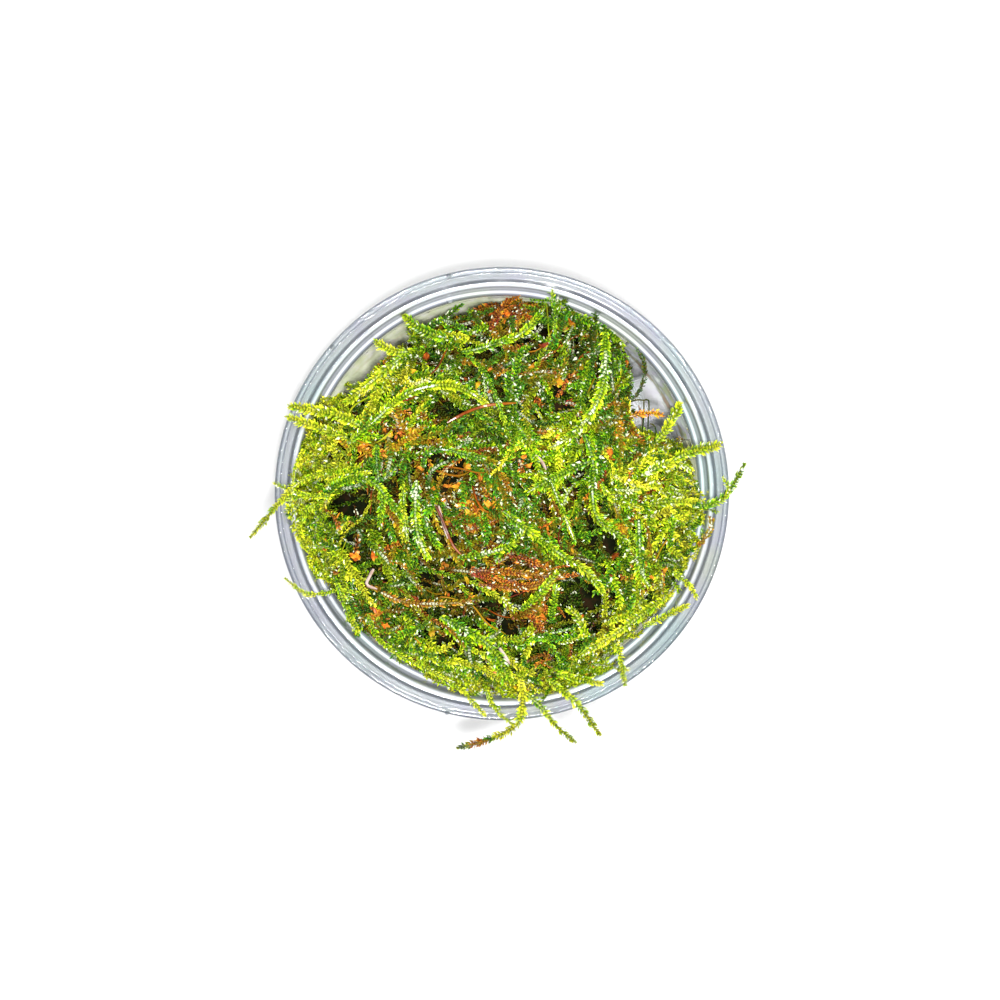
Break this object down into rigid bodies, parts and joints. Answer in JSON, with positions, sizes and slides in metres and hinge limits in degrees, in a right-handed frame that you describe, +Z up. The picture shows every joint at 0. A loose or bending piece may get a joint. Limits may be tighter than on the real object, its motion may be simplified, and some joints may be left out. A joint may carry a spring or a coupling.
{
  "type": "moss clump",
  "caption": "Heaped clump of wet feathery aquatic moss filling a round clear plastic cup with a wide snap rim, loose shoots hanging over the edge.",
  "frame": {"origin": "centre of the cup's flat underside, on the surface it stands on", "axes": "+Z up along the cup's axis, +X to the right and +Y away from the viewer, as the clump is seen from above with its bay open at the upper right"},
  "size_m": [0.0875, 0.0863, 0.0516],
  "materials": {
    "clear_plastic": "clear, glossy, smooth moulded plastic",
    "moss_tangle": "dark wet tangle of fine leafy moss shoots",
    "moss_yellow": "wet yellow-green leafy moss",
    "moss_green": "wet deep green leafy moss",
    "moss_pale": "wet pale green leafy moss with light tips",
    "moss_brown": "wet rust-brown ageing moss",
    "moss_red": "wet bare reddish stem"
  },
  "bodies": {
    "root": {"cup": "clear_plastic", "moss_bed": "moss_tangle", "brown_strand_upper": "moss_brown", "brown_strand_lower": "moss_brown", "upright_left_1": "moss_green", "upright_left_2": "moss_yellow", "upright_left_3": "moss_pale", "upright_left_4": "moss_green", "wet_stem": "moss_red", "olive_low_left": "moss_brown", "long_bottom": "moss_green", "low_centre_cross": "moss_yellow", "low_centre_upright": "moss_green", "low_right_tip": "moss_yellow", "arch_upper_left": "moss_yellow", "arch_left": "moss_green", "arch_centre": "moss_green", "red_stem": "moss_red", "broad_right": "moss_pale", "right_cross": "moss_green", "right_column": "moss_green", "right_curl": "moss_yellow", "long_diagonal": "moss_yellow", "thin_centre_right": "moss_yellow", "top_yellow": "moss_yellow", "top_down_thin": "moss_green", "top_left_tip": "moss_green", "upper_left_short": "moss_yellow", "left_diagonal_broad": "moss_yellow", "right_fan_upper": "moss_pale", "right_fan_lower": "moss_yellow", "right_upright_low": "moss_green", "lower_right_diagonal": "moss_yellow", "wall_arc": "moss_green", "orange_stub": "moss_brown", "right_big_tip": "moss_yellow", "rim_right_upper": "moss_yellow", "rim_right_long": "moss_green", "rim_right_fork": "moss_yellow", "rim_right_curl": "moss_brown", "rim_right_low": "moss_yellow", "rim_low_right": "moss_yellow", "rim_drop": "moss_yellow", "rim_bottom_yellow": "moss_yellow", "overhang_right": "moss_yellow", "overhang_middle": "moss_yellow", "overhang_long": "moss_brown", "overhang_fork": "moss_yellow", "rim_bottom_left": "moss_yellow", "rim_left_low": "moss_yellow", "mouth_left_low": "moss_yellow", "rim_left_long": "moss_yellow", "rim_left_tip": "moss_yellow", "rim_left_broad": "moss_yellow", "rim_left_second": "moss_yellow", "rim_left_fringe": "moss_yellow", "rim_left_arc": "moss_yellow", "rim_left_band": "moss_yellow", "bottom_left_edge": "moss_yellow", "top_green_tip": "moss_green"}
  },
  "joints": []
}
